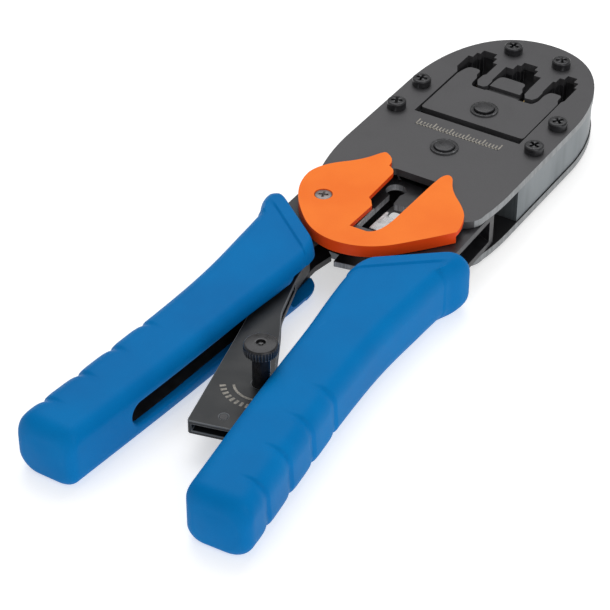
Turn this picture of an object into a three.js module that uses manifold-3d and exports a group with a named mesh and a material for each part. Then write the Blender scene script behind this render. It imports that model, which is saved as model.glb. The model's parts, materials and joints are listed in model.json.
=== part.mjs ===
// Hand crimping tool for modular plugs: head plates, die nest, sliding ram, two handles,
// ratchet lever with its release knob, wire blades and guard. Millimetres, +Z up.
// The tool lies on its back. +Y runs from the grip ends to the head tip.
// Plan coordinates below are taken from the handle pivot, heights from the top face of the head.
import * as THREE from 'three';
import * as BufferGeometryUtils from 'three/addons/utils/BufferGeometryUtils.js';
import Module from 'manifold-3d';

const wasm = await Module();
wasm.setup();

// ---- driving dimensions ---------------------------------------------------------------
const PLATE = 2.2;              // thickness of a head plate
const STACK = 15.2;             // head thickness over both plates
const MID = -STACK / 2;         // height of the middle plane
const INNER_TOP = -PLATE;       // under side of the top plate
const INNER_BOTTOM = PLATE - STACK;
const FIT = 0.1;                // running clearance of sliding pieces
const SHEET = 1.85;             // sheet thickness of the handle channels
const GRIP_HEIGHT = 17.6;
const REST = MID - GRIP_HEIGHT / 2;   // the plane that the tool lies on
const OPEN_ANGLE = 2.1 * Math.PI / 180;   // right handle is a mirrored left one, opened by this
const ORIGIN_X = 2.875;         // pivot to the middle of the bounding box
const ORIGIN_Y = -46.69;

const HEAD_HALF = 27.1;         // half width of the head
const HEAD_ROUND_Y = 30;        // where its sides start to close
const HEAD_TIP = 67.8;
const BOTTOM_END = -45.5;       // the bottom plate stops here, as a fork around the wire window

const RAM_HALF = 16.9;
const RAM_BOTTOM = 16.2;
const WINDOW_HALF = 17.4;
const WINDOW_BOTTOM = 13.1;
const PIN_RADIUS = 3;
const RAM_PIN_Y = 24.2;
const LINK_PIN = [-9.5, 1.5];
const SCREW_PLACES = [[22.75, 11.9], [22.75, 26.9], [8.15, 58.2]];
const SCREW_HEAD = 2.85;
const SCREW_HEIGHT = 2.4;
const SHANK = 1.5;

const COVER_TOP = 1.45;         // thin lid over the tail of the head plates
const SKIRT = 1.2;              // its skirt hangs down around their edge
const SKIRT_GAP = 0.25;
const COVER_GAP = 0.06;
const COVER_SCREW = [-16, -40.3];
const RIVETS = [[-17.6, -26.4], [-14.8, -33.9]];
const RIVET = 1.8;

const LEVER_PIVOT = [-12.6, -62];
const LEVER_HEIGHT = 4.2;
const LEVER_SHEET = 1.1;
const KNOB = [9.8, -112];
const KNOB_TOP = 7.6;
const KNOB_RADIUS = 4.6;
const STEM_RADIUS = 2.35;
const STOP_PIN = [9, -128];     // ends the swing of the pawl

// The three plug cavities: centre, then half width and top of the body, shoulder and latch steps.
const CAVITIES = [
  { name: '6p', x: -13.9, steps: [[4.95, 49.2], [3.45, 52.05], [2.3, 54.3]], ways: 6 },
  { name: '8p', x: 0, steps: [[5.95, 49.2], [3.55, 52.1], [2.3, 54.4]], ways: 8 },
  { name: '4p', x: 14, steps: [[3.95, 49.2], [3.1, 52.05], [1.6, 54.4]], ways: 4 },
];

// ---- materials ------------------------------------------------------------------------
const finish = (color, roughness, metalness) =>
  new THREE.MeshStandardMaterial({ color, roughness, metalness });
const blackSteel = finish(0x4a4a50, 0.5, 0.6);
const spacerSteel = finish(0x7a848a, 0.4, 0.8);
const darkSteel = finish(0x202226, 0.5, 0.6);
const brightSteel = finish(0xc9ccd0, 0.25, 1);
const leverSteel = finish(0x3a3d42, 0.5, 0.5);
const gripBlue = finish(0x0075bd, 0.55, 0);
const guardOrange = finish(0xf9803a, 0.5, 0);
const contactBrass = finish(0xb99a55, 0.35, 1);

// ---- geometry helpers -----------------------------------------------------------------
function toSolid(geometry) {
  const bare = geometry.clone();
  bare.deleteAttribute('normal');
  bare.deleteAttribute('uv');
  const merged = BufferGeometryUtils.mergeVertices(bare, 1e-4);
  return new wasm.Manifold(new wasm.Mesh({
    numProp: 3,
    vertProperties: new Float32Array(merged.attributes.position.array),
    triVerts: new Uint32Array(merged.index.array),
  }));
}

function toGeometry(solid) {
  const mesh = solid.getMesh();
  const geometry = new THREE.BufferGeometry();
  geometry.setAttribute('position', new THREE.BufferAttribute(new Float32Array(mesh.vertProperties), 3));
  geometry.setIndex(new THREE.BufferAttribute(new Uint32Array(mesh.triVerts), 1));
  geometry.computeVertexNormals();
  return geometry;
}

function cut(geometry, ...tools) {
  return toGeometry(tools.reduce((solid, tool) => solid.subtract(toSolid(tool)), toSolid(geometry)));
}

function join(geometry, ...others) {
  return toGeometry(others.reduce((solid, other) => solid.add(toSolid(other)), toSolid(geometry)));
}

function polygon(points) {
  return new THREE.Shape(points.map(([x, y]) => new THREE.Vector2(x, y)));
}

// A closed outline whose corners are rounded; a point may carry its own radius.
function rounded(points, radius = 0) {
  const shape = new THREE.Shape();
  points.forEach((point, i) => {
    const corner = new THREE.Vector2(point[0], point[1]);
    const before = new THREE.Vector2(...points.at(i - 1).slice(0, 2));
    const after = new THREE.Vector2(...points[(i + 1) % points.length].slice(0, 2));
    const r = Math.min(point[2] ?? radius, corner.distanceTo(before) * 0.49, corner.distanceTo(after) * 0.49);
    const start = corner.clone().add(before.sub(corner).setLength(r));
    const end = corner.clone().add(after.sub(corner).setLength(r));
    if (i === 0) {
      shape.moveTo(start.x, start.y);
    } else {
      shape.lineTo(start.x, start.y);
    }
    if (r > 0) {
      shape.quadraticCurveTo(corner.x, corner.y, end.x, end.y);
    }
  });
  shape.closePath();
  return shape;
}

function slab(shape, low, high, curveSegments = 5) {
  const depth = high - low;
  const geometry = new THREE.ExtrudeGeometry(shape, { depth, bevelEnabled: false, curveSegments });
  return geometry.translate(0, 0, low);
}

function block(x0, x1, y0, y1, z0, z1) {
  const geometry = new THREE.BoxGeometry(x1 - x0, y1 - y0, z1 - z0);
  return geometry.translate((x0 + x1) / 2, (y0 + y1) / 2, (z0 + z1) / 2);
}

function rod([x, y], radius, low, high, sides = 24) {
  const geometry = new THREE.CylinderGeometry(radius, radius, high - low, sides);
  return geometry.rotateX(Math.PI / 2).translate(x, y, (low + high) / 2);
}

// Turned piece: profile points are [radius, height], from the axis back to the axis or closed.
function turned([x, y], profile, sides = 24) {
  const points = profile.map(([radius, height]) => new THREE.Vector2(radius, height));
  return new THREE.LatheGeometry(points, sides).rotateX(Math.PI / 2).translate(x, y, 0);
}

function ring([x, y], inner, outer, low, high, sides = 24) {
  return turned([x, y], [[inner, low], [outer, low], [outer, high], [inner, high], [inner, low]], sides);
}

function turnPoint([x, y], angle) {
  const c = Math.cos(angle);
  const s = Math.sin(angle);
  return [c * x - s * y, s * x + c * y];
}

const mirrorPoints = (points) => points.map(([x, y, ...rest]) => [-x, y, ...rest]).reverse();

// Round edge of the guard from its left side to its right, drawn in by a distance.
function coverEdge(inset = 0) {
  const path = new THREE.Path();
  path.moveTo(-25.3, -33.1);
  path.bezierCurveTo(-25.3, -41, -20.2, -47.5, -13.9, -53.3);
  path.quadraticCurveTo(-8.6, -57.9, -2.1, -57.8);
  path.quadraticCurveTo(6.9, -57.5, 13.4, -50.1);
  path.quadraticCurveTo(19.7, -42.9, 24.2, -36.9);
  const points = path.getPoints(7);
  return points.map((point, i) => {
    const before = points[Math.max(i - 1, 0)];
    const after = points[Math.min(i + 1, points.length - 1)];
    const along = after.clone().sub(before).normalize();
    return [point.x - along.y * inset, point.y + along.x * inset];
  });
}

// ---- head plates ----------------------------------------------------------------------
function headOutline() {
  const shape = new THREE.Shape();
  shape.moveTo(HEAD_HALF, -10);
  shape.lineTo(HEAD_HALF, HEAD_ROUND_Y);
  shape.bezierCurveTo(HEAD_HALF - 0.2, 44, 21, HEAD_TIP, 0, HEAD_TIP);
  shape.bezierCurveTo(-21, HEAD_TIP, 0.2 - HEAD_HALF, 44, -HEAD_HALF, HEAD_ROUND_Y);
  shape.lineTo(-HEAD_HALF, -8);
  shape.quadraticCurveTo(-HEAD_HALF, -20, -23.6, -31);
  for (const [x, y] of coverEdge(SKIRT + SKIRT_GAP)) {
    shape.lineTo(x, y);
  }
  shape.lineTo(22.6, -29.9);
  shape.quadraticCurveTo(HEAD_HALF - 0.9, -27.8, HEAD_HALF - 1, -23.5);
  shape.quadraticCurveTo(HEAD_HALF, -18, HEAD_HALF, -10);
  shape.closePath();
  return shape;
}

// Window of the ram with the three stepped cavities above it and the two fingers between them.
function nestOutline(grow = 0) {
  const points = [[-WINDOW_HALF - grow, WINDOW_BOTTOM - grow], [WINDOW_HALF + grow, WINDOW_BOTTOM - grow]];
  const steps = (cavity) => {
    const right = cavity.steps.flatMap(([half, top], i) => {
      const next = cavity.steps[i + 1];
      const x = cavity.x + half + grow;
      return next ? [[x, top + grow], [cavity.x + next[0] + grow, top + grow]] : [[x, top + grow]];
    });
    const left = right.map(([x, y]) => [2 * cavity.x - x, y]).reverse();
    return [...right, ...left];
  };
  const [six, eight, four] = CAVITIES;
  points.push([WINDOW_HALF + grow, 39.8], [four.x + four.steps[0][0] + grow, 41]);
  points.push(...steps(four), [four.x - four.steps[0][0] - grow, 42.2], [10.35 - grow, 41.6]);
  points.push([10.35 - grow, 38.2], [9.4 - grow, 36.5 - grow], [7.2 + grow, 36.3 - grow], [6.1 + grow, 38.2]);
  points.push([5.95 + grow, 42.5], ...steps(eight), [-5.95 - grow, 40.2], [-5.6 - grow, 39.6]);
  points.push([-5.6 - grow, 36.4], [-6.6 - grow, 35.5 - grow], [-8.3 + grow, 35.5 - grow], [-9.7 + grow, 38]);
  points.push([-9.6 + grow, 41.2], [six.x + six.steps[0][0] + grow, 42.2], ...steps(six));
  points.push([six.x - six.steps[0][0] - grow, 42], [-WINDOW_HALF - grow, 39.4]);
  return polygon(points);
}

const wireWindow = rounded([[-7, -16.6], [-7, -46.5], [8.4, -46.5], [8.4, -16.6]], 1.2);

function throughHoles(low, high) {
  const holes = [];
  for (const side of [-1, 1]) {
    for (const [x, y] of SCREW_PLACES) {
      holes.push(rod([side * x, y], SHANK + FIT, low, high, 12));
    }
  }
  return holes;
}

function headPlate(low, high) {
  const holes = throughHoles(low - 1, high + 1);
  holes.push(slab(nestOutline(), low - 1, high + 1), slab(wireWindow, low - 1, high + 1));
  holes.push(rod([0, 0], PIN_RADIUS + FIT, low - 1, high + 1));
  for (const place of RIVETS) {
    holes.push(rod(place, RIVET + 0.05, low - 1, high + 1, 16));
  }
  return cut(slab(headOutline(), low, high, 22), ...holes);
}

const topPlate = cut(headPlate(INNER_TOP, 0), rod(COVER_SCREW, SHANK + FIT, -4, 1, 24));
const bottomPlate = cut(headPlate(-STACK, INNER_BOTTOM), block(-30, 30, -70, BOTTOM_END, -20, 0));

const DIE_BOTTOM = 39;
const dieSide = (gap) => [[20.6 - gap, DIE_BOTTOM + gap], [20.6 - gap, 48.5], [17.2 - gap, 55.3 - gap]];

// Thick steel horseshoe between the plates; the ram slides between its legs.
const SPACER_END = -5;
const SPACER_INSET = 0.35;
const SPACER_INNER = 17.2;
function spacerGeometry() {
  const low = INNER_BOTTOM + FIT / 2;
  const high = INNER_TOP - FIT / 2;
  const outer = new THREE.Shape();
  const half = HEAD_HALF - SPACER_INSET;
  const tip = HEAD_TIP - SPACER_INSET;
  outer.moveTo(half, SPACER_END);
  outer.lineTo(half, HEAD_ROUND_Y);
  outer.bezierCurveTo(half - 0.2, 44, 21 - SPACER_INSET, tip, 0, tip);
  outer.bezierCurveTo(SPACER_INSET - 21, tip, 0.2 - half, 44, -half, HEAD_ROUND_Y);
  outer.lineTo(-half, SPACER_END);
  outer.closePath();
  const channel = polygon([[-SPACER_INNER, -20], [SPACER_INNER, -20], [SPACER_INNER, DIE_BOTTOM],
    ...dieSide(0), ...mirrorPoints(dieSide(0)), [-SPACER_INNER, DIE_BOTTOM]]);
  return cut(slab(outer, low, high, 22), slab(channel, low - 1, high + 1), ...throughHoles(low - 1, high + 1));
}

// Hardened nest that holds the plug; it drops into the head of the spacer.
function dieBlock() {
  const low = INNER_BOTTOM + 0.1;
  const high = INNER_TOP - 0.1;
  const body = slab(polygon([...dieSide(FIT), ...mirrorPoints(dieSide(FIT))]), low, high);
  const fingers = [[-9.3, -6], [6.5, 10]].map(([x0, x1]) => block(x0, x1, 36.8, 40, low, high));
  return cut(join(body, ...fingers), slab(nestOutline(0.12), low - 1, high + 1));
}

// ---- screws, pins and rings -----------------------------------------------------------
function headScrew(place) {
  const profile = [[0, -STACK + 0.05], [SHANK, -STACK + 0.05], [SHANK, 0.03], [SCREW_HEAD, 0.03],
    [SCREW_HEAD, SCREW_HEIGHT - 0.5], [SCREW_HEAD - 0.5, SCREW_HEIGHT], [0, SCREW_HEIGHT]];
  return turned(place, profile, 16);
}

const DOME = 1.15;
function domedPin(place) {
  const low = REST + 0.1;
  const profile = [[0, low], [PIN_RADIUS - 0.5, low], [PIN_RADIUS, low + 0.5], [PIN_RADIUS, DOME - 0.5],
    [PIN_RADIUS - 0.6, DOME - 0.08], [0, DOME]];
  return turned(place, profile);
}

const RING_OUTER = 4.15;
const RING_THICK = 0.5;
const RING_INNER = PIN_RADIUS + 0.06;
const ringAbove = (place, face) =>
  ring(place, RING_INNER, RING_OUTER, face + 0.03, face + 0.03 + RING_THICK);
const ringBelow = (place, face) =>
  ring(place, RING_INNER, RING_OUTER, face - 0.03 - RING_THICK, face - 0.03);

function coverScrew() {
  const [x, y] = COVER_SCREW;
  const top = COVER_TOP - 0.1;
  const profile = [[0, -11.5], [SHANK - 0.1, -11.5], [SHANK - 0.1, -0.05], [2.4, top - 0.3],
    [2.4, top], [0, top]];
  return turned([x, y], profile, 20);
}

const rivet = (place) => turned(place, [[0, REST + 0.5], [2.6, REST + 0.5], [2.9, REST + 0.9],
  [2.9, -STACK - 0.03], [RIVET, -STACK - 0.03], [RIVET, -0.05], [0, -0.05]], 24);

// Spring coil around the handle pivot.
const COIL_RADIUS = 3.85;
const COIL_WIRE = 0.42;
const COIL_TURNS = 4;
const COIL_HEIGHT = 5;
function handleSpring() {
  const path = new THREE.CatmullRomCurve3();
  const steps = COIL_TURNS * 10;
  for (let i = 0; i <= steps; i += 1) {
    const angle = (i / steps) * COIL_TURNS * 2 * Math.PI;
    const height = MID - COIL_HEIGHT / 2 + (i / steps) * COIL_HEIGHT;
    path.points.push(new THREE.Vector3(COIL_RADIUS * Math.cos(angle), COIL_RADIUS * Math.sin(angle), height));
  }
  const wire = new THREE.Shape().absarc(0, 0, COIL_WIRE, 0, 2 * Math.PI, false);
  return new THREE.ExtrudeGeometry(wire, { steps, bevelEnabled: false, extrudePath: path, curveSegments: 3 });
}

// ---- ram ------------------------------------------------------------------------------
// Outline of the ram with its three punches; the punches end at the given height.
function ramOutline(punchTop, half = RAM_HALF) {
  const t = punchTop;
  return rounded([[-half, RAM_BOTTOM, 1], [half, RAM_BOTTOM, 1], [half, 38.6, 0.6], [16, 40.4, 0.5],
    [15.9, t - 0.6, 1], [12.1, t - 0.5, 1.4], [11.3, 40.6, 0.8], [11.3, 37, 0.8], [10.4, 34.5, 0.8],
    [5.2, 34.3, 0.4], [4.9, 39.2, 0.5], [3.9, 40.8, 0.6], [3.9, t - 0.3, 1.4], [-4.7, t - 0.1, 2],
    [-5.2, 40.2, 0.8], [-5.1, 34.3, 0.4], [-9.7, 34.4, 0.8], [-10.5, 36, 0.8], [-10.6, 39.4, 0.6],
    [-11.5, 40.8, 0.6], [-11.5, t - 0.2, 1.4], [-15.6, t - 0.1, 1.6],
    [-half + 0.3, 40.4, 1], [-half, 38.4, 0.4]]);
}

const RAM_FACE = -0.2;
const LINK_HALF = 1.6;          // half thickness of the toggle link
const groove = block(-5.5, 5.4, 34.7, 37.3, RAM_FACE - 1.2, 1);
const ramTopPlate = cut(slab(ramOutline(44), INNER_TOP + 0.05, RAM_FACE, 3), groove,
  rod([0, RAM_PIN_Y], PIN_RADIUS + 0.05, -4, 1));
const ramBottomPlate = cut(slab(ramOutline(44), -STACK - RAM_FACE, INNER_BOTTOM - 0.05, 3),
  rod([0, RAM_PIN_Y], PIN_RADIUS + 0.05, -STACK - 1, INNER_BOTTOM + 1));

function ramBody() {
  const low = INNER_BOTTOM + 0.08;
  const high = INNER_TOP - 0.08;
  const slot = block(-9, 9, 10, 31, MID - LINK_HALF - 0.3, MID + LINK_HALF + 0.3);
  const seats = CAVITIES.map(({ x, ways }) =>
    block(x - ways / 2 - 1.5, x + ways / 2 + 1.5, 41, 46, MID - 2, MID + 2));
  return cut(slab(ramOutline(43.4), low, high, 3), slot, ...seats,
    rod([0, RAM_PIN_Y], PIN_RADIUS + 0.05, low - 1, high + 1));
}

// Row of contact teeth that presses the plug's blades home.
const TOOTH_PITCH = 1.02;
function contactComb({ x, ways }) {
  const half = (ways * TOOTH_PITCH) / 2;
  const teeth = [];
  for (let i = 0; i < ways; i += 1) {
    const tooth = x + (i - (ways - 1) / 2) * TOOTH_PITCH;
    teeth.push(block(tooth - 0.2, tooth + 0.2, 42, 44.9, MID - 1.6, MID + 1.6));
  }
  return join(block(x - half, x + half, 41.1, 42.4, MID - 1.6, MID + 1.6), ...teeth);
}

// ---- toggle link ----------------------------------------------------------------------
const LINK_WIDE = 4.1;
const LINK_CLEARANCE = 0.3;
function toggleLink() {
  const low = MID - LINK_HALF;
  const high = MID + LINK_HALF;
  const foot = rod(LINK_PIN, LINK_WIDE, low, high);
  const head = rod([0, RAM_PIN_Y], PIN_RADIUS + 1.9, low, high);
  const [x, y] = LINK_PIN;
  const along = new THREE.Vector2(-x, RAM_PIN_Y - y).normalize().multiplyScalar(LINK_WIDE - 0.6);
  const bar = polygon([[x - along.y, y + along.x], [x + along.y, y - along.x],
    [along.y, RAM_PIN_Y - along.x], [-along.y, RAM_PIN_Y + along.x]]);
  return cut(join(foot, head, slab(bar, low, high)), rod(LINK_PIN, 2.05, low - 1, high + 1),
    rod([0, RAM_PIN_Y], PIN_RADIUS + LINK_CLEARANCE, low - 1, high + 1));
}

// ---- handles --------------------------------------------------------------------------
// Both handles share these left-hand curves: outer and inner edge of the grip, mouth to end.
const spline = (points) => new THREE.SplineCurve(points.map(([x, y]) => new THREE.Vector2(x, y)));
const outerEdge = spline([[-28.4, -43.8], [-30.8, -45.6], [-30.5, -49.4], [-28.6, -53.9], [-28, -59],
  [-27.5, -66], [-26.6, -79], [-26.4, -91], [-27, -107], [-28.1, -123], [-29.3, -139],
  [-30.4, -151], [-31.4, -161.2]]);
const innerEdge = spline([[-6.2, -60.7], [-5, -63.6], [-4.8, -69], [-5.6, -79], [-7, -92], [-8.2, -108],
  [-9.5, -124], [-11, -140], [-12.5, -155], [-13.1, -161.2]]);
const GRIP_LENGTH = outerEdge.getLength();
const GROOVE_PITCH = 12.8;      // finger grooves along the outer edge
const GROOVES = 4;
const GROOVE_DEPTH = 0.7;
const LAST_GROOVE = GRIP_LENGTH - 13;
const STATION_PITCH = GROOVE_PITCH / 4;

const GRIP_CORNER = { outer: 5.4, inner: 4.2 };
const CORNER_POINTS = 5;
const END_ROUND = { outer: 3.6, inner: 3, top: 5, bottom: 2.4 };   // rounding of the closed end, to each side

// How far a rounded end of the given radius has drawn in, at a distance from that end.
const drawnIn = (radius, toEnd) =>
  (toEnd < radius ? radius - Math.sqrt(radius ** 2 - (radius - toEnd) ** 2) : 0);

// Depth of the finger grooves: each is a step that fades towards the mouth.
function grooveDepth(along) {
  const fromFirst = along - (LAST_GROOVE - (GROOVES - 1) * GROOVE_PITCH);
  const inGrooves = fromFirst > -GROOVE_PITCH && along < LAST_GROOVE + GROOVE_PITCH;
  const wave = (((fromFirst / GROOVE_PITCH) % 1) + 1) % 1;
  return inGrooves ? GROOVE_DEPTH * (1 - Math.sin(Math.PI * wave) ** 0.5) : 0;
}

// Outline of the grip's section at a distance along its length.
function gripSection(along) {
  const outer = outerEdge.getPointAt(along / GRIP_LENGTH);
  const inner = innerEdge.getPointAt(along / GRIP_LENGTH);
  const across = inner.clone().sub(outer).normalize();
  const toEnd = GRIP_LENGTH - along;
  const mouth = along < 1 ? 0.6 * (1 - along) : 0;
  const outside = drawnIn(END_ROUND.outer, toEnd) + grooveDepth(along) + mouth;
  const inside = outer.distanceTo(inner) - drawnIn(END_ROUND.inner, toEnd) - mouth;
  const points = [];
  for (let quarter = 0; quarter < 4; quarter += 1) {
    const onOuter = quarter === 0 || quarter === 3;
    const upward = quarter < 2 ? 1 : -1;
    const half = GRIP_HEIGHT / 2 - drawnIn(upward > 0 ? END_ROUND.top : END_ROUND.bottom, toEnd) - mouth;
    const corner = Math.min(onOuter ? GRIP_CORNER.outer : GRIP_CORNER.inner, half - 0.3);
    for (let i = 0; i < CORNER_POINTS; i += 1) {
      const angle = ((quarter + i / (CORNER_POINTS - 1)) * Math.PI) / 2;
      const centre = onOuter ? outside + corner : inside - corner;
      const reach = centre - corner * Math.cos(angle);
      const height = MID + upward * (half - corner) + corner * Math.sin(angle);
      points.push([outer.x + across.x * reach, outer.y + across.y * reach, height]);
    }
  }
  return points;
}

function gripStations() {
  const stations = [0, 1, 2.4, 4, 6, 8.5, 11.5, 15, 19];
  const regular = LAST_GROOVE - (GROOVES + 1) * GROOVE_PITCH;
  for (let along = 25; along < regular; along += 6.5) {
    stations.push(along);
  }
  for (let along = regular; along < GRIP_LENGTH - END_ROUND.top; along += STATION_PITCH) {
    stations.push(along);
  }
  const left = [END_ROUND.top, 3.5, 2.3, 1.2, 0.5, 0.12, 0.02];
  return [...stations, ...left.map((toEnd) => GRIP_LENGTH - toEnd)];
}

function gripLoft() {
  const sections = gripStations().map(gripSection);
  const count = sections[0].length;
  const final = sections.length - 1;
  const positions = sections.flat();
  const index = [];
  for (let i = 0; i < final; i += 1) {
    for (let j = 0; j < count; j += 1) {
      const a = i * count + j;
      const b = i * count + ((j + 1) % count);
      index.push(a, a + count, b, b, a + count, b + count);
    }
  }
  const centreOf = (section) => section.reduce((sum, p) => sum.map((v, k) => v + p[k] / count), [0, 0, 0]);
  const first = positions.push(centreOf(sections[0])) - 1;
  const last = positions.push(centreOf(sections[final])) - 1;
  for (let j = 0; j < count; j += 1) {
    const next = (j + 1) % count;
    index.push(first, j, next);
    index.push(last, final * count + next, final * count + j);
  }
  const geometry = new THREE.BufferGeometry();
  geometry.setAttribute('position', new THREE.Float32BufferAttribute(positions.flat(), 3));
  geometry.setIndex(index);
  return geometry;
}

const CORE_TOP = INNER_TOP - 0.15;
const CORE_BOTTOM = INNER_BOTTOM + 0.15;
const GRIP_GAP = 0.3;

// Channel outline inside the grip, left hand, from the mouth to the end of the handle.
const coreOuter = [[-25, -42], [-24.8, -57], [-23.7, -66], [-22.7, -79], [-22.8, -92], [-23.5, -108],
  [-24.7, -124], [-25.7, -140], [-26.4, -155]];
const coreInner = [[-14.4, -155], [-13.2, -140], [-11.7, -124], [-10.6, -108], [-9.6, -92],
  [-9, -79], [-8.6, -66]];

function widened(points, by) {
  return points.map(([x, y]) => [x + by, y]);
}

const leftCoreOutline = [[-25.2, -21], ...coreOuter, ...coreInner, [-8.9, -56], [-7.7, -49.4], [-12.4, -45.5],
  [-12.4, -24.5], [-15, -21]];
const rightCoreArm = mirrorPoints([...coreOuter, ...coreInner, [-9.4, -56]]);
const rightCoreOutline = [...rightCoreArm, [25.4, -18, 1.6], [12, -12.3, 4], [9, -3, 6], [8.2, 6, 5],
  [0, 9.4, 6], [-8, 8.2, 5], [-14.2, 5.6, 4], [-14.6, -2.2, 4],
  [-8, -8.6, 5], [2, -13.4, 4], [9.4, -19, 2], [9.4, -50]];

// Sleeve cavity: the channel grown by a gap and run out past the mouth.
function sleeveCavity() {
  const outer = widened(coreOuter, -GRIP_GAP);
  const inner = widened(coreInner, GRIP_GAP);
  outer[0] = [-25.6, -38];
  outer.at(-1)[1] -= 0.6;
  inner[0][1] -= 0.6;
  return polygon([...outer, ...inner, [-8.2, -50], [-8.2, -38]]);
}

// Slot on the inner side of a grip that the ratchet lever folds into.
const SLOT_HALF = 3.2;
const slotShape = rounded([[-14, -30], [-14, -144, 3], [0, -144, 0], [0, -30]]);

function leftGripGeometry() {
  const cavity = slab(sleeveCavity(), CORE_BOTTOM - GRIP_GAP, CORE_TOP + GRIP_GAP);
  return cut(gripLoft(), cavity, slab(slotShape, MID - SLOT_HALF, MID + SLOT_HALF));
}

const mirrored = (geometry) => toGeometry(toSolid(geometry).mirror([1, 0, 0]));

const CHANNEL_TOP = CORE_TOP - SHEET;
const CHANNEL_BOTTOM = CORE_BOTTOM + SHEET;

function leftCore() {
  const body = slab(polygon(leftCoreOutline), CORE_BOTTOM, CORE_TOP);
  const web = widened(coreOuter, SHEET);
  const pocket = polygon([[-25.2 + SHEET, -21 - SHEET], ...web, [-13, -158], [0, -158], [0, -21 - SHEET]]);
  const holes = RIVETS.map((place) => rod(place, RIVET + 0.05, -20, 2, 24));
  holes.push(rod(LEVER_PIVOT, 1.75, -20, 2, 24), rod(COVER_SCREW, SHANK, -20, 2, 24));
  return cut(body, slab(pocket, CHANNEL_BOTTOM, CHANNEL_TOP), ...holes);
}

function rightCore() {
  const body = slab(rounded(rightCoreOutline), CORE_BOTTOM, CORE_TOP, 6);
  const web = mirrorPoints(widened(coreOuter, SHEET).slice(1));
  const pocket = polygon([[0, -158], [13, -158], ...web, [30, -50], [30, -21.5], [25.4, -21.5],
    [11.6, -14.7], [8, 12], [-20, 12], [-20, -20], [0, -20]]);
  const nose = slab(polygon([[11, -42.2], [-8.1, -44.6], [-7.8, -51], [11, -47.9]]),
    CORE_BOTTOM, CHANNEL_BOTTOM);
  const pin = turnPoint(LINK_PIN, -OPEN_ANGLE);
  return cut(join(body, nose), slab(pocket, CHANNEL_BOTTOM, CHANNEL_TOP),
    rod([0, 0], PIN_RADIUS + FIT, -20, 2), rod(pin, 1.95, -20, 2, 24));
}

// Toothed bar in the right channel; the pawl runs along it.
function ratchetRack() {
  const web = mirrorPoints(widened(coreOuter, SHEET + 0.1)).filter(([, y]) => y < -100 && y > -150);
  const back = web.map(([x, y]) => [x, y]);
  const first = back[0];
  const last = back.at(-1);
  const teeth = [];
  const count = 16;
  for (let i = 0; i < count; i += 1) {
    const t = i / count;
    const x = last[0] + (first[0] - last[0]) * t;
    const y = last[1] + (first[1] - last[1]) * t;
    teeth.push([x - 2.4, y], [x - 3.3, y - 1.9]);
  }
  teeth.push([first[0] - 2.4, first[1]]);
  return slab(polygon([...back, ...teeth]), MID - 1.5, MID + 1.5);
}

// ---- wire blades ----------------------------------------------------------------------
const HOLDER_TOP = CHANNEL_TOP - 0.1;
function bladeHolder() {
  const plate = rounded([[-19.5, -23.2, 1], [-19.5, -35], [-12, -37], [-11, -49.6, 1.5], [-4.5, -49.6, 1.5],
    [-4.4, -22], [-1.6, -22], [-1.2, -27, 0.6], [4.8, -26, 0.8], [4.8, -15.4, 2],
    [-10, -15.4, 3], [-11.8, -23.2]]);
  const holes = RIVETS.map((place) => rod(place, RIVET + 0.05, -12, 0, 24));
  return cut(slab(plate, HOLDER_TOP - 2, HOLDER_TOP), rod([-4, -20.6], 2.9, -12, 0), ...holes);
}
const fixedBlade = slab(rounded([[-7.2, -46], [-4.1, -45.4], [-4.1, -32.3], [-7.2, -33.1]], 0.4),
  HOLDER_TOP + 0.03, HOLDER_TOP + 0.75);
const movingBladeShape = rounded([[-1.1, -40.5, 0.4], [14.6, -40.5, 0.5], [14.6, -28, 0.5], [4.6, -28, 1],
  [3.6, -33.2, 0.3], [0.4, -33.2, 0.5], [0, -31.2, 0.5], [-0.9, -31.2, 0.5]]);
const BLADE_TOP = CHANNEL_TOP - 0.05;
const BLADE_SCREW = [12.4, -35.6];
const movingBlade = cut(slab(movingBladeShape, BLADE_TOP - 1.2, BLADE_TOP),
  rod(BLADE_SCREW, 1.3, -12, 0, 20));
const bladeScrew = turned(BLADE_SCREW, [[0, BLADE_TOP - 3], [2.2, BLADE_TOP - 3], [2.2, BLADE_TOP - 1.25],
  [1.2, BLADE_TOP - 1.25], [1.2, BLADE_TOP - 0.1], [0, BLADE_TOP - 0.1]], 20);

// ---- guard cover ----------------------------------------------------------------------
function guardOutline() {
  const shape = new THREE.Shape();
  shape.moveTo(-12.2, -13);
  shape.quadraticCurveTo(-12.9, -13.6, -13.8, -15.6);
  shape.quadraticCurveTo(-15.6, -19.4, -19, -22.6);
  shape.quadraticCurveTo(-24.9, -27.9, -25.3, -33.1);
  for (const [x, y] of coverEdge()) {
    shape.lineTo(x, y);
  }
  shape.quadraticCurveTo(24.4, -33.6, 22.3, -29);
  shape.quadraticCurveTo(20.9, -26.4, 17, -23);
  shape.quadraticCurveTo(13.4, -19.9, 11.7, -16.4);
  shape.quadraticCurveTo(10.6, -13.9, 9.3, -13.7);
  shape.quadraticCurveTo(8.2, -13.5, 7.6, -16);
  shape.lineTo(7.3, -19.9);
  shape.lineTo(6.9, -40);
  shape.quadraticCurveTo(6.6, -48.8, 3.1, -49.4);
  shape.lineTo(-2, -49.5);
  shape.lineTo(-1.7, -38);
  shape.lineTo(-3.2, -35.9);
  shape.lineTo(-4.5, -35);
  shape.lineTo(-4.8, -21.5);
  shape.quadraticCurveTo(-5, -19.3, -7.7, -18.3);
  shape.lineTo(-7.9, -16.7);
  shape.quadraticCurveTo(-8.6, -14.5, -10.6, -13.4);
  shape.quadraticCurveTo(-11.7, -12.6, -12.2, -13);
  shape.closePath();
  return shape;
}

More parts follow.
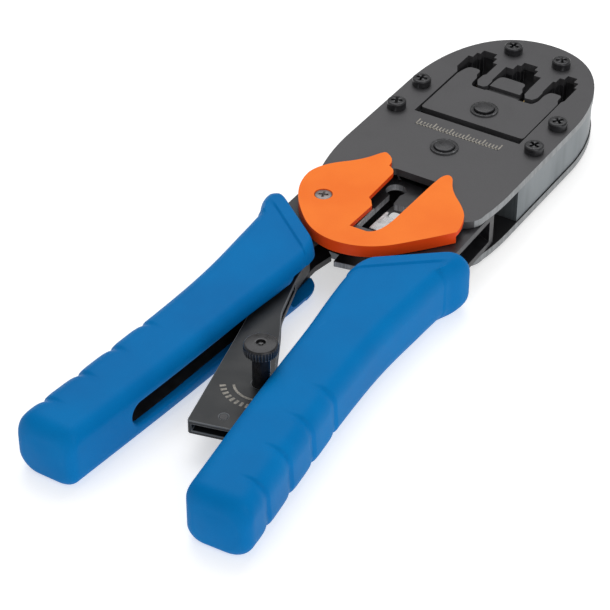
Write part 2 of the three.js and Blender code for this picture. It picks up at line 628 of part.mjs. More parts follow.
// Skirt along the round edge, as low as the under side of the top plate.
function guardSkirt() {
  const [, ...edge] = coverEdge();
  const [, ...back] = coverEdge(SKIRT);
  return slab(polygon([...edge, ...back.reverse()]), INNER_TOP + 0.05, COVER_TOP - 0.6);
}

function guardCover() {
  const recess = turned(COVER_SCREW, [[0, -1], [SHANK + FIT, -1], [SHANK + FIT, 0.1], [2.6, COVER_TOP - 0.3],
    [2.6, COVER_TOP + 1], [0, COVER_TOP + 1]], 28);
  return cut(join(slab(guardOutline(), COVER_GAP, COVER_TOP, 12), guardSkirt()), recess);
}

// ---- ratchet lever --------------------------------------------------------------------
const LEVER_TOP = MID + LEVER_HEIGHT / 2;
const LEVER_BOTTOM = MID - LEVER_HEIGHT / 2;
const LEVER_END = [[2, -134.1], [19, -129.9]];
const leverLeft = [[-16.4, -59.6, 3], [-6.4, -98.7, 12], [...LEVER_END[0], 1]];
const leverRight = [[...LEVER_END[1], 1.5], [17.4, -117, 3], [9.6, -105, 3], [2.2, -91, 2], [-1.4, -85, 2],
  [-6.4, -69, 3], [-8.2, -58.4, 3]];
function ratchetLever() {
  const body = slab(rounded([...leverLeft, ...leverRight]), LEVER_BOTTOM, LEVER_TOP);
  const [x, y] = LEVER_END[0];
  const pocket = polygon([[-9.6, -71], [-13, -70], [-5.2, -98.7], [x + 1.2, y], [x + 1.2, -140],
    [30, -140], [30, -71]]);
  const inside = slab(pocket, LEVER_BOTTOM + LEVER_SHEET, LEVER_TOP - LEVER_SHEET);
  return cut(body, inside, rod(LEVER_PIVOT, 1.8, -12, 0, 24), rod(KNOB, STEM_RADIUS + FIT, MID, 0, 28),
    rod(STOP_PIN, 1.15, -12, 0, 20));
}
const leverPin = rod(LEVER_PIVOT, 1.7, CORE_BOTTOM + 0.1, CORE_TOP - 0.1, 24);
const stopPin = rod(STOP_PIN, 1.1, LEVER_BOTTOM + 0.1, LEVER_TOP - 0.1, 20);

// The knob's stem reaches through the lever and carries the pawl, with a clip above it.
const HEAD_LOW = 4.1;
const PAWL_TOP = MID + 0.35;
const PAWL_THICK = 1.1;
const PAWL_REACH = 19.9;
const PAWL_ANGLE = -47 * Math.PI / 180;
function releaseKnob() {
  const waist = KNOB_RADIUS - 0.15;
  const profile = [[0, MID - 0.85], [STEM_RADIUS, MID - 0.85], [STEM_RADIUS, HEAD_LOW + 0.5],
    [KNOB_RADIUS - 0.5, HEAD_LOW], [waist, HEAD_LOW + 0.4], [waist, KNOB_TOP - 0.9],
    [KNOB_RADIUS - 0.9, KNOB_TOP - 0.2], [1.2, KNOB_TOP],
    [1.1, KNOB_TOP - 0.8], [0, KNOB_TOP - 0.8]];
  return turned(KNOB, profile, 28);
}
const knobClip = ring(KNOB, STEM_RADIUS + 0.04, 3.4, PAWL_TOP + 0.1, PAWL_TOP + 0.5, 24);

function pawlGeometry() {
  const low = PAWL_TOP - PAWL_THICK;
  const hub = rod([0, 0], 4, low, PAWL_TOP);
  const arm = polygon([[0, -1.9], [15, -1.7], [PAWL_REACH - 0.5, -0.7], [PAWL_REACH, 0.7],
    [16, 1.5], [0, 2.4]]);
  const bore = rod([0, 0], STEM_RADIUS + 0.04, low - 1, PAWL_TOP + 1, 28);
  const solid = cut(join(hub, slab(arm, low, PAWL_TOP)), bore);
  return solid.rotateZ(PAWL_ANGLE).translate(...KNOB, 0);
}

// ---- assembly -------------------------------------------------------------------------
const tool = new THREE.Group();
tool.position.set(-ORIGIN_X, -ORIGIN_Y, -REST);
const rightHandle = new THREE.Group();
rightHandle.rotation.z = OPEN_ANGLE;
tool.add(rightHandle);

function piece(name, geometry, material, parent = tool) {
  const mesh = new THREE.Mesh(geometry, material);
  mesh.name = name;
  parent.add(mesh);
}

piece('top_plate', topPlate, blackSteel);
piece('bottom_plate', bottomPlate, blackSteel);
piece('head_spacer', spacerGeometry(), spacerSteel);
piece('die_block', dieBlock(), darkSteel);
SCREW_PLACES.forEach(([x, y], i) => {
  piece(`head_screw_left_${i + 1}`, headScrew([-x, y]), darkSteel);
  piece(`head_screw_right_${i + 1}`, headScrew([x, y]), darkSteel);
});
piece('pivot_pin', domedPin([0, 0]), darkSteel);
piece('pivot_ring_front', ringAbove([0, 0], 0), darkSteel);
piece('pivot_ring_back', ringBelow([0, 0], -STACK), darkSteel);
piece('handle_spring', handleSpring(), brightSteel);
piece('left_core', leftCore(), darkSteel);
piece('left_grip', leftGripGeometry(), gripBlue);
RIVETS.forEach((place, i) => piece(`core_rivet_${i + 1}`, rivet(place), darkSteel));
piece('guard_cover', guardCover(), guardOrange);
piece('cover_screw', coverScrew(), brightSteel);
piece('blade_holder', bladeHolder(), darkSteel);
piece('fixed_blade', fixedBlade, brightSteel);
piece('lever_pin', leverPin, brightSteel);

piece('ram_top_plate', ramTopPlate, blackSteel);
piece('ram_body', ramBody(), darkSteel);
piece('ram_bottom_plate', ramBottomPlate, blackSteel);
CAVITIES.forEach((cavity) => piece(`contact_comb_${cavity.name}`, contactComb(cavity), contactBrass));
piece('ram_pin', domedPin([0, RAM_PIN_Y]), darkSteel);
piece('ram_ring_front', ringAbove([0, RAM_PIN_Y], RAM_FACE), darkSteel);
piece('ram_ring_back', ringBelow([0, RAM_PIN_Y], -STACK - RAM_FACE), darkSteel);

piece('toggle_link', toggleLink(), darkSteel);
piece('link_pin', rod(LINK_PIN, 1.85, CORE_BOTTOM + 0.1, CORE_TOP - 0.1, 24), brightSteel);

piece('right_core', rightCore(), darkSteel, rightHandle);
piece('right_grip', mirrored(leftGripGeometry()), gripBlue, rightHandle);
piece('ratchet_rack', ratchetRack(), darkSteel, rightHandle);
piece('moving_blade', movingBlade, brightSteel);
piece('blade_screw', bladeScrew, brightSteel);

piece('ratchet_lever', ratchetLever(), leverSteel);
piece('stop_pin', stopPin, brightSteel);
piece('release_knob', releaseKnob(), leverSteel);
piece('knob_clip', knobClip, brightSteel);
piece('pawl', pawlGeometry(), darkSteel);

export default tool;
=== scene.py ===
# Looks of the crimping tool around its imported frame.
# Shapes are drawn in millimetres from the handle pivot, with z = 0 at the top face of the head,
# and turned into metres in the row frame when a piece is made.
import json
import math

import bmesh
import bpy
from mathutils import Matrix, Vector

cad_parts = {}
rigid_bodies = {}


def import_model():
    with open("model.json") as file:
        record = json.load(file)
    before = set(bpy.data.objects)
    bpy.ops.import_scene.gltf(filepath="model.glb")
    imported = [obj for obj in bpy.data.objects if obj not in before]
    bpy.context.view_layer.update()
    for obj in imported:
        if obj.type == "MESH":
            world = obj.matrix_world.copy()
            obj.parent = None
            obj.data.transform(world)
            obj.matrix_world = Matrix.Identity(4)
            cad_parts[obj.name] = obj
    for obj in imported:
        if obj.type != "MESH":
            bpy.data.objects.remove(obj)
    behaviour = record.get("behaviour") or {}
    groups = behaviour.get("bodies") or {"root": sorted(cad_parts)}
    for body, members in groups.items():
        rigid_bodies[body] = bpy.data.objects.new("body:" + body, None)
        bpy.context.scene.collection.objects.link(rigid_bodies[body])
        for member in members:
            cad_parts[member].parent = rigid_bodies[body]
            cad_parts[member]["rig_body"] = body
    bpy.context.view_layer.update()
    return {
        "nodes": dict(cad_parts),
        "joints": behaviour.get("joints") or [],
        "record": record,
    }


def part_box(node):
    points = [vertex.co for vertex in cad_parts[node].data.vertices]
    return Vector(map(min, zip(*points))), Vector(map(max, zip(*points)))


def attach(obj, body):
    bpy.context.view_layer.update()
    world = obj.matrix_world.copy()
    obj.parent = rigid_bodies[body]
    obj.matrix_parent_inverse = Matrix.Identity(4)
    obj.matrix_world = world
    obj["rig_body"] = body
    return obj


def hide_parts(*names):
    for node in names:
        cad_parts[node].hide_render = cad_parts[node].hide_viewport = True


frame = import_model()

# ---- frame ------------------------------------------------------------------------------
NODES = frame["nodes"]
SLOTS = {part["node"]: part["material_slot"] for part in frame["record"]["subparts"]}
JOINTS = {joint["name"]: Vector(joint["pos_m"]) for joint in frame["joints"] if "pos_m" in joint}
HINGE = JOINTS["handle_hinge"]
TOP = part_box("top_plate")[1].z
MM = 0.001
TO_ROW = Matrix.Translation((HINGE.x, HINGE.y, TOP)) @ Matrix.Scale(MM, 4)


def height_of(node, corner):
    """Height of a node's lowest (0) or highest (1) corner, in tool millimetres."""
    return (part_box(node)[corner].z - TOP) / MM


def place_of(joint):
    """Plan position of a joint, in tool millimetres."""
    offset = (JOINTS[joint] - HINGE) / MM
    return offset.x, offset.y


def centre_of(node):
    """Plan position of the middle of a node's box, in tool millimetres."""
    low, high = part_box(node)
    middle = ((low + high) / 2 - HINGE) / MM
    return middle.x, middle.y


STACK = -height_of("bottom_plate", 0)
MID = -STACK / 2
REST = -TOP / MM
OPEN_ANGLE = math.radians(2.1)      # the right handle is a mirrored left one, opened by this
RIGHT_HAND = Matrix.Rotation(OPEN_ANGLE, 4, "Z") @ Matrix.Scale(-1, 4, (1, 0, 0))


# ---- materials --------------------------------------------------------------------------
class Look:
    """A procedural material: a Principled shader with helpers that add nodes before it."""

    def __init__(self, name, roughness, metallic=0.0, specular=0.5, coat=0.0):
        self.material = bpy.data.materials.new(name)
        self.material.use_nodes = True
        self.tree = self.material.node_tree
        self.shader = self.tree.nodes["Principled BSDF"]
        self.shader.inputs["Roughness"].default_value = roughness
        self.shader.inputs["Metallic"].default_value = metallic
        self.shader.inputs["Specular IOR Level"].default_value = specular
        self.shader.inputs["Coat Weight"].default_value = coat
        self.shader.inputs["Coat Roughness"].default_value = 0.25
        self.place = self.tree.nodes.new("ShaderNodeTexCoord").outputs["Object"]
        self.normal = None

    def node(self, kind, **settings):
        made = self.tree.nodes.new(kind)
        for key, value in settings.items():
            setattr(made, key, value)
        return made

    def noise(self, size_mm, detail=3.0, stretch=(1, 1, 1), rough=0.55):
        """Noise whose features are about size_mm across; stretch divides its frequency along x, y and z."""
        mapping = self.node("ShaderNodeMapping")
        mapping.inputs["Scale"].default_value = [1 / (size_mm * MM * factor) for factor in stretch]
        self.tree.links.new(self.place, mapping.inputs["Vector"])
        texture = self.node("ShaderNodeTexNoise")
        texture.inputs["Scale"].default_value = 1.0
        texture.inputs["Detail"].default_value = detail
        texture.inputs["Roughness"].default_value = rough
        self.tree.links.new(mapping.outputs["Vector"], texture.inputs["Vector"])
        return texture.outputs["Fac"]

    def ramp(self, value, low, high, start=0.3, end=0.7):
        """A colour (or grey number) that runs from low to high as value runs from start to end."""
        made = self.node("ShaderNodeValToRGB")
        for element, place, colour in zip(made.color_ramp.elements, (start, end), (low, high)):
            element.position = place
            element.color = (colour, colour, colour, 1) if isinstance(colour, float) else (*colour, 1)
        self.tree.links.new(value, made.inputs["Fac"])
        return made.outputs["Color"]

    def mix(self, share, first, second, blend="MIX"):
        made = self.node("ShaderNodeMix", data_type="RGBA", blend_type=blend)
        for socket, value in (("Factor", share), ("A", first), ("B", second)):
            kind = "VALUE" if socket == "Factor" else "RGBA"
            target = next(s for s in made.inputs if s.name == socket and s.type == kind)
            if isinstance(value, bpy.types.NodeSocket):
                self.tree.links.new(value, target)
            elif socket == "Factor":
                target.default_value = value
            else:
                target.default_value = (*value, 1)
        return next(s for s in made.outputs if s.type == "RGBA")

    def math(self, operation, first, second=0.5, clamp=False):
        made = self.node("ShaderNodeMath", operation=operation, use_clamp=clamp)
        for target, value in zip(made.inputs, (first, second)):
            if isinstance(value, bpy.types.NodeSocket):
                self.tree.links.new(value, target)
            else:
                target.default_value = value
        return made.outputs["Value"]

    def attribute(self, name):
        return self.node("ShaderNodeAttribute", attribute_name=name).outputs["Fac"]

    def upward(self):
        """1 on faces that look up or down, 0 on upright faces."""
        split = self.node("ShaderNodeSeparateXYZ")
        self.tree.links.new(self.node("ShaderNodeNewGeometry").outputs["Normal"], split.inputs["Vector"])
        return self.math("ABSOLUTE", split.outputs["Z"])

    def bump(self, height, depth_mm, strength=1.0):
        made = self.node("ShaderNodeBump")
        made.inputs["Strength"].default_value = strength
        made.inputs["Distance"].default_value = depth_mm * MM
        self.tree.links.new(height, made.inputs["Height"])
        if self.normal is not None:
            self.tree.links.new(self.normal, made.inputs["Normal"])
        self.normal = made.outputs["Normal"]
        self.tree.links.new(self.normal, self.shader.inputs["Normal"])

    def finish(self, colour, roughness=None):
        self.tree.links.new(colour, self.shader.inputs["Base Color"])
        if roughness is not None:
            self.tree.links.new(roughness, self.shader.inputs["Roughness"])
        return self.material


def sheet_steel(name, dark, light, cut_low, cut_high, wear_and_highlight, roughness):
    """Blackened sheet metal: mottled faces, paler sheared edges, worn corners with a painted highlight and
    painted shade on faces inside the stack.
    """
    look = Look(name, roughness, metallic=0.25)
    mottle = look.noise(9, detail=4)
    grain = look.noise(0.22, detail=2)
    face = look.mix(0.35, look.ramp(mottle, dark, light), look.ramp(grain, dark, light, 0.35, 0.65))
    shear = look.noise(1.3, detail=3, stretch=(1, 1, 6))
    face = look.mix(look.attribute("cut"), face, look.ramp(shear, cut_low, cut_high))
    # painted shade: faces that look into the stack, between the plates, are darkened almost to black
    face = look.mix(look.math("MULTIPLY", look.attribute("inner"), 0.8), face, (0.008, 0.008, 0.009))
    # worn corners with a painted highlight: rounded corners are lightened in rubbed patches
    scuff_and_highlight = look.math("MULTIPLY", look.attribute("edge"), look.ramp(look.noise(2.5), 0.25, 0.9, 0.35, 0.65))
    face = look.mix(scuff_and_highlight, face, wear_and_highlight)
    look.bump(grain, 0.012, 0.6)
    return look.finish(face, look.ramp(mottle, roughness - 0.05, roughness + 0.07))


def satin_black():
    """Blackened fittings: screws, pins, cores and the ram body, with a painted highlight along rounded
    corners.
    """
    look = Look("dark_steel", 0.36, metallic=0.35)
    mottle = look.noise(3, detail=3)
    face = look.ramp(mottle, (0.018, 0.018, 0.020), (0.032, 0.032, 0.036))
    streaks = look.noise(0.45, detail=2, stretch=(1, 1, 10))
    face = look.mix(look.attribute("cut"), face, look.ramp(streaks, (0.16, 0.165, 0.175), (0.36, 0.37, 0.39)))
    # painted highlight: rounded corners are lightened
    face = look.mix(look.math("MULTIPLY", look.attribute("edge"), 0.45), face, (0.13, 0.132, 0.14))
    look.bump(look.noise(0.3, detail=2), 0.01, 0.5)
    return look.finish(face, look.ramp(mottle, 0.3, 0.44))


def fitting(name, dark, light):
    """Turned fittings: screws, pins and rings, with a painted highlight on their rims."""
    look = Look(name, 0.3, metallic=0.45)
    mottle = look.noise(1.6, detail=3)
    rims = look.node("ShaderNodeNewGeometry").outputs["Pointiness"]
    # painted highlight: sharp rims, found by pointiness, are lightened
    rim_highlight = look.ramp(rims, 0.0, 0.8, 0.52, 0.60)
    face = look.mix(rim_highlight, look.ramp(mottle, dark, light), (0.17, 0.172, 0.18))
    look.bump(look.noise(0.25, detail=2), 0.008, 0.5)
    return look.finish(face, look.ramp(mottle, 0.24, 0.38))


def ground_steel():
    """Blue-grey spacer, ground across its edge so that streaks run through the thickness."""
    look = Look("spacer_steel", 0.42, metallic=0.75)
    streaks = look.noise(0.8, detail=5, stretch=(1, 1, 30), rough=0.65)
    broad = look.noise(11, detail=2, stretch=(1, 1, 3))
    face = look.ramp(streaks, (0.10, 0.117, 0.128), (0.19, 0.212, 0.225), 0.3, 0.72)
    pale = look.math("MULTIPLY", look.ramp(broad, 0.0, 1.0, 0.4, 0.62), 0.55)
    face = look.mix(pale, face, (0.25, 0.272, 0.285))
    look.bump(streaks, 0.02, 0.5)
    return look.finish(face, look.ramp(streaks, 0.34, 0.5))


def bright_steel():
    """Bare polished steel with fine scratches."""
    look = Look("bright_steel", 0.3, metallic=1.0)
    scratches = look.noise(0.16, detail=4, stretch=(1, 14, 1))
    face = look.ramp(scratches, (0.30, 0.31, 0.32), (0.50, 0.505, 0.51))
    face = look.mix(look.ramp(look.noise(3.5, detail=3), 0.0, 0.6, 0.45, 0.62), face, (0.16, 0.165, 0.17))
    look.bump(scratches, 0.006, 0.5)
    return look.finish(face, look.ramp(look.noise(2), 0.22, 0.4))


def lever_black():
    """Painted lever and knob, with a faint grain and a painted highlight along rounded corners."""
    look = Look("lever_black", 0.45, specular=0.3)
    mottle = look.noise(7, detail=4)
    face = look.ramp(mottle, (0.0085, 0.010, 0.0115), (0.015, 0.0172, 0.0192))
    face = look.mix(look.attribute("cut"), face, (0.022, 0.024, 0.027))
    # painted highlight: rounded corners are lightened to a pale grey
    face = look.mix(look.math("MULTIPLY", look.attribute("edge"), 0.8), face, (0.17, 0.18, 0.19))
    grain = look.noise(0.2, detail=2)
    look.bump(grain, 0.015, 0.7)
    return look.finish(face, look.ramp(mottle, 0.34, 0.5))


def grip_blue():
    """Moulded sleeve: satin blue with a fine texture and a slight drift in tone."""
    look = Look("grip_blue", 0.5, specular=0.05)
    drift = look.noise(26, detail=3)
    fine = look.noise(0.35, detail=3)
    face = look.ramp(drift, (0.0, 0.150, 0.425), (0.0, 0.182, 0.49), 0.32, 0.68)
    face = look.mix(look.ramp(fine, 0.0, 0.2, 0.4, 0.7), face, (0.0, 0.12, 0.36))
    marks = look.ramp(look.noise(1.6, detail=5, stretch=(1, 5, 2)), 0.0, 0.12, 0.66, 0.78)
    face = look.mix(marks, face, (0.04, 0.27, 0.60))
    look.bump(fine, 0.03, 0.5)
    look.bump(look.noise(4, detail=2), 0.05, 0.35)
    return look.finish(face, look.ramp(drift, 0.42, 0.52))


def guard_orange():
    """Moulded guard: clear orange on top, with painted shade making its upright side deeper and redder, and a
    painted highlight along its rounded rim.
    """
    look = Look("guard_orange", 0.42, specular=0.12)
    drift = look.noise(18, detail=2)
    top = look.ramp(drift, (0.95, 0.182, 0.012), (1.0, 0.218, 0.020), 0.35, 0.65)
    # painted shade: upright faces get a deeper, redder orange than the top
    face = look.mix(look.ramp(look.upward(), 1.0, 0.0, 0.15, 0.8), top, (0.88, 0.070, 0.008))
    fine = look.noise(0.4, detail=2)
    face = look.mix(look.ramp(fine, 0.0, 0.12, 0.45, 0.7), face, (0.86, 0.15, 0.014))
    # painted highlight: a paler orange along the rounded rim
    face = look.mix(look.math("MULTIPLY", look.attribute("edge"), 0.45), face, (1.0, 0.36, 0.06))
    look.bump(fine, 0.012, 0.4)
    return look.finish(face, look.ramp(drift, 0.33, 0.44))


def contact_brass():
    """Stained brass teeth."""
    look = Look("contact_brass", 0.3, metallic=1.0)
    stain = look.noise(1.2, detail=3)
    look.bump(look.noise(0.12, detail=2, stretch=(1, 1, 8)), 0.006, 0.5)
    return look.finish(look.ramp(stain, (0.34, 0.22, 0.08), (0.56, 0.40, 0.16)), look.ramp(stain, 0.38, 0.24))


def print_ink():
    """Pale printing, slightly rubbed."""
    look = Look("print_ink", 0.55)
    worn = look.noise(0.45, detail=3)
    look.bump(worn, 0.004, 0.4)
    return look.finish(look.ramp(worn, (0.13, 0.12, 0.105), (0.34, 0.315, 0.27), 0.34, 0.56))


MATERIALS = {
    "plate_black": sheet_steel("plate_black", (0.046, 0.045, 0.048), (0.066, 0.065, 0.069),
                               (0.17, 0.18, 0.185), (0.27, 0.28, 0.29), (0.22, 0.22, 0.23), 0.46),
    "spacer_steel": ground_steel(),
    "dark_steel": satin_black(),
    "bright_steel": bright_steel(),
    "lever_black": lever_black(),
    "grip_blue": grip_blue(),
    "guard_orange": guard_orange(),
    "contact_brass": contact_brass(),
}
INK = print_ink()
FITTING = fitting("fitting_black", (0.012, 0.012, 0.0135), (0.026, 0.026, 0.029))
COVER_FITTING = fitting("cover_fitting", (0.15, 0.125, 0.118), (0.27, 0.235, 0.225))


# ---- making pieces ----------------------------------------------------------------------
def finish_mesh(mesh, crease_degrees=34):
    """Smooth shading that keeps edges sharper than an angle."""
    mesh.shade_smooth()
    mesh.set_sharp_from_angle(angle=math.radians(crease_degrees))


def to_mesh(name, shape):
    """A new mesh from a bmesh, which is freed."""
    mesh = bpy.data.meshes.new(name)
    shape.to_mesh(mesh)
    shape.free()
    return mesh


def bridge(shape, rings):
    """Faces between closed rings with the same number of points."""
    for first, second in zip(rings, rings[1:]):
        for k in range(len(first)):
            n = (k + 1) % len(first)
            shape.faces.new((first[k], first[n], second[n], second[k]))


def settle(piece, body, material, nodes=()):
    """Gives a piece its finish, body and slot, and lets it stand for CAD nodes."""
    if piece.name not in bpy.context.scene.collection.objects:
        bpy.context.scene.collection.objects.link(piece)
    piece.data.materials.clear()
    piece.data.materials.append(material)
    evened = piece.modifiers.new("even_normals", "WEIGHTED_NORMAL")
    evened.keep_sharp = True
    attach(piece, body)
    if nodes:
        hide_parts(*nodes)
    return piece


def make(name, shape, nodes, material=None, crease_degrees=34):
    """A piece from a bmesh in tool millimetres; it stands for the nodes and rides on their body."""
    shape.transform(TO_ROW)
    bmesh.ops.recalc_face_normals(shape, faces=shape.faces)
    mesh = to_mesh(name, shape)
    finish_mesh(mesh, crease_degrees)
    slot = SLOTS[nodes[0]]
    body = NODES[nodes[0]]["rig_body"]
    return settle(bpy.data.objects.new(name, mesh), body, material or MATERIALS[slot], nodes)


OUTER_EDGE_ONLY = ("top_plate", "bottom_plate")
NO_CUT_EDGES = ("ram_top_plate", "ram_bottom_plate", "left_core", "die_block", "guard_cover")
FLAT = 0.35             # an upright face has a normal with less than this much z
SHEET_EDGE = 2.6 * MM   # faces lower than this are the cut edges of sheet metal


def soften(shape, width, segments, sharp_degrees):
    """Rounds every edge sharper than an angle and gives back the new faces."""
    corners = [e for e in shape.edges if len(e.link_faces) == 2
               and e.calc_face_angle(0.0) > math.radians(sharp_degrees)]
    return bmesh.ops.bevel(shape, geom=corners, offset=width, segments=segments, profile=0.5,
                           affect="EDGES", clamp_overlap=True, miter_outer="ARC")["faces"]


def refine(node, width=0.12, segments=2, sharp_degrees=28, flat_degrees=0.6):
    """A finished copy of a CAD node: flat faces joined up and corners rounded by width.

    Face attributes mark sheared edges (cut), rounded corners (edge), where the materials paint a highlight
    (with wear on sheet metal), and faces inside the stack (inner), where sheet metal gets painted shade.
    """
    shape = bmesh.new()
    shape.from_mesh(NODES[node].data)
    bmesh.ops.remove_doubles(shape, verts=shape.verts, dist=1e-6)
    bmesh.ops.dissolve_limit(shape, angle_limit=math.radians(flat_degrees),
                             verts=shape.verts, edges=shape.edges)
    cut = shape.faces.layers.float.new("cut")
    edge = shape.faces.layers.float.new("edge")
    inner = shape.faces.layers.float.new("inner")
    middle = TO_ROW.translation.z + MID * MM
    shape.normal_update()
    for face in shape.faces:
        heights = [vert.co.z for vert in face.verts]
        is_cut = abs(face.normal.z) < FLAT and max(heights) - min(heights) < SHEET_EDGE
        if node in OUTER_EDGE_ONLY:
            ahead = max((vert.co - face.verts[0].co).dot(face.normal) for vert in shape.verts)
            is_cut = is_cut and ahead < 3 * MM
        face[cut] = 1.0 if is_cut and node not in NO_CUT_EDGES else 0.0
        toward_middle = face.normal.z * (middle - face.calc_center_median().z) > 0
        face[inner] = 1.0 if abs(face.normal.z) > 0.9 and toward_middle else 0.0
    for face in soften(shape, width * MM, segments, sharp_degrees):
        face[edge] = 1.0
        face[cut] = 0.0
    mesh = to_mesh(node + "_fine", shape)
    finish_mesh(mesh, 40)
    body = NODES[node]["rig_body"]
    piece = bpy.data.objects.new(node + "_fine", mesh)
    return settle(piece, body, MATERIALS[SLOTS[node]], [node])


def lathe(profile, sides=48, centre=(0, 0), radius_at=None):
    """Closed turned shape: profile points are (radius, height) from axis to axis, or a loop.

    radius_at(angle, index) may add to a profile point's radius.
    """
    shape = bmesh.new()
    rings = []
    for index, (radius, height) in enumerate(profile):
        if radius < 1e-6:
            rings.append([shape.verts.new((*centre, height))])
            continue
        ring = []
        for k in range(sides):
            angle = 2 * math.pi * k / sides
            reach = radius + (radius_at(angle, index) if radius_at else 0)
            x, y = centre[0] + reach * math.cos(angle), centre[1] + reach * math.sin(angle)
            ring.append(shape.verts.new((x, y, height)))
        rings.append(ring)
    closed = profile[0][0] > 1e-6
    pairs = list(zip(rings, rings[1:])) + ([(rings[-1], rings[0])] if closed else [])
    for lower, upper in pairs:
        for k in range(sides):
            below = [lower[k % len(lower)], lower[(k + 1) % len(lower)]]
            above = [upper[(k + 1) % len(upper)], upper[k % len(upper)]]
            shape.faces.new(list(dict.fromkeys(below + above)))
    return shape


def arc_profile(centre, radius, start, end, steps=5):
    """Points of a profile arc, angles in degrees from the outward direction."""
    points = []
    for i in range(steps + 1):
        angle = math.radians(start + (end - start) * i / steps)
        points.append((centre[0] + radius * math.cos(angle), centre[1] + radius * math.sin(angle)))
    return points


def extrude(outline, low, high):
    """A slab from a plan outline, in millimetres."""
    shape = bmesh.new()
    base = shape.faces.new([shape.verts.new((x, y, low)) for x, y in outline])
    lifted = bmesh.ops.extrude_face_region(shape, geom=[base])
    for item in lifted["geom"]:
        if isinstance(item, bmesh.types.BMVert):
            item.co.z = high
    bmesh.ops.recalc_face_normals(shape, faces=shape.faces)
    return shape


def carve(shape, *cutters, operation="DIFFERENCE"):
    """Takes closed bmeshes out of a closed bmesh, or joins them to it, with exact booleans."""
    def as_object(source):
        bmesh.ops.recalc_face_normals(source, faces=source.faces)
        made = bpy.data.objects.new("carving", to_mesh("carving", source))
        bpy.context.scene.collection.objects.link(made)
        return made

    body = as_object(shape)
    tools = [as_object(cutter) for cutter in cutters]
    for tool in tools:
        cut = body.modifiers.new("cut", "BOOLEAN")
        cut.operation = operation
        cut.solver = "EXACT"
        cut.object = tool
    result = bmesh.new()
    result.from_object(body, bpy.context.evaluated_depsgraph_get())
    for item in [body, *tools]:
        mesh = item.data
        bpy.data.objects.remove(item)
        bpy.data.meshes.remove(mesh)
    return result


def joined(shape, other):
    """Two closed bmeshes as one."""
    return carve(shape, other, operation="UNION")


def spline(points, steps=24):
    """Catmull-Rom curve through plan points, as a dense list with its running length."""
    dense = []
    for i in range(len(points) - 1):
        p0, p1 = points[max(i - 1, 0)], points[i]
        p2, p3 = points[i + 1], points[min(i + 2, len(points) - 1)]
        for k in range(steps):
            t = k / steps
            dense.append(tuple(
                0.5 * (2 * b + (c - a) * t + (2 * a - 5 * b + 4 * c - d) * t * t
                       + (3 * b - a - 3 * c + d) * t ** 3)
                for a, b, c, d in zip(p0, p1, p2, p3)))
    dense.append(tuple(points[-1]))
    lengths = [0.0]
    for a, b in zip(dense, dense[1:]):
        lengths.append(lengths[-1] + math.dist(a, b))
    return dense, lengths


def along_curve(curve, share):
    """Point of a spline at a share of its length."""
    dense, lengths = curve
    target = share * lengths[-1]
    for i in range(1, len(lengths)):
        if lengths[i] >= target or i == len(lengths) - 1:
            t = (target - lengths[i - 1]) / (lengths[i] - lengths[i - 1])
            return Vector(dense[i - 1]).lerp(Vector(dense[i]), min(t, 1))


def smoothstep(value, start, end):
    t = min(max((value - start) / (end - start), 0), 1)
    return t * t * (3 - 2 * t)


# ---- grips ------------------------------------------------------------------------------
# Left-hand curves of a sleeve, mouth to end, as in the CAD model.
OUTER = spline([(-28.4, -43.8), (-30.8, -45.6), (-30.5, -49.4), (-28.6, -53.9), (-28, -59),
                (-27.5, -66), (-26.6, -79), (-26.4, -91), (-27, -107), (-28.1, -123),
                (-29.3, -139), (-30.4, -151), (-31.4, -161.2)])
INNER = spline([(-6.2, -60.7), (-5, -63.6), (-4.8, -69), (-5.6, -79), (-7, -92), (-8.2, -108),
                (-9.5, -124), (-11, -140), (-12.5, -155), (-13.1, -161.2)])
GRIP_LENGTH = OUTER[1][-1]
GRIP_HALF = -(REST - MID)
CORNER_OUTER = 5.4
CORNER_INNER = 4.2
END_ROUND = {"outer": 3.6, "inner": 3.0, "top": 5.0, "bottom": 2.4}
BODY_INSET = 0.15       # the sleeve is this much lower than the CAD faces
COLLAR_RISE = 0.4       # and its collar this much higher on top
COLLAR = 4.0            # width of the raised band along the mouth
LOBE_END = 13.5         # the band runs this far down the outer edge
COLLAR_STEP = 0.6       # width of the soft step at its edge
CREASE_FIRST = -112.4
CREASE_PITCH = 12.6
CREASES = 4
CREASE_DEPTH = 0.55
CREASE_REACH = 9.0      # how far a crease runs in from the outer edge


def drawn_in(radius, to_end):
    """How far a rounded end has drawn in, at a distance from that end."""
    return radius - math.sqrt(max(radius ** 2 - (radius - to_end) ** 2, 0)) if to_end < radius else 0.0


def collar_share(point, reach, along):
    """1 on the raised collar, 0 on the sleeve, from the distances to the mouth and to the outer edge."""
    mouth_a, mouth_b = Vector(OUTER[0][0]), Vector(INNER[0][0])
    line = (mouth_b - mouth_a).normalized()
    offset = point - mouth_a
    from_mouth = abs(line.x * offset.y - line.y * offset.x)
    from_side = reach + max(0.0, along - LOBE_END + 4) ** 2 * 0.35
    blend = 4.0
    near = max(blend - abs(from_mouth - from_side), 0) / blend
    distance = min(from_mouth, from_side) - near * near * blend / 4
    return 1 - smoothstep(distance, COLLAR - COLLAR_STEP / 2, COLLAR + COLLAR_STEP / 2)


def crease_depth(y, z, reach):
    """Depth of the shallow finger creases that cross the outer edge."""
    depth = 0.0
    fade = 1 - smoothstep(reach, 3, CREASE_REACH)
    for k in range(CREASES):
        offset = y - (CREASE_FIRST - CREASE_PITCH * k - 0.1 * (z + 4) - 0.05 * reach)
        width = 0.32 if offset > 0 else 1.2
        depth += CREASE_DEPTH * math.exp(-(offset / width) ** 2 / 2) * fade
        swell = smoothstep(-offset, 0, CREASE_PITCH * 0.45) * smoothstep(CREASE_PITCH + offset, 0, 3)
        depth -= 0.16 * swell * fade if -CREASE_PITCH < offset < 0 else 0
    return depth


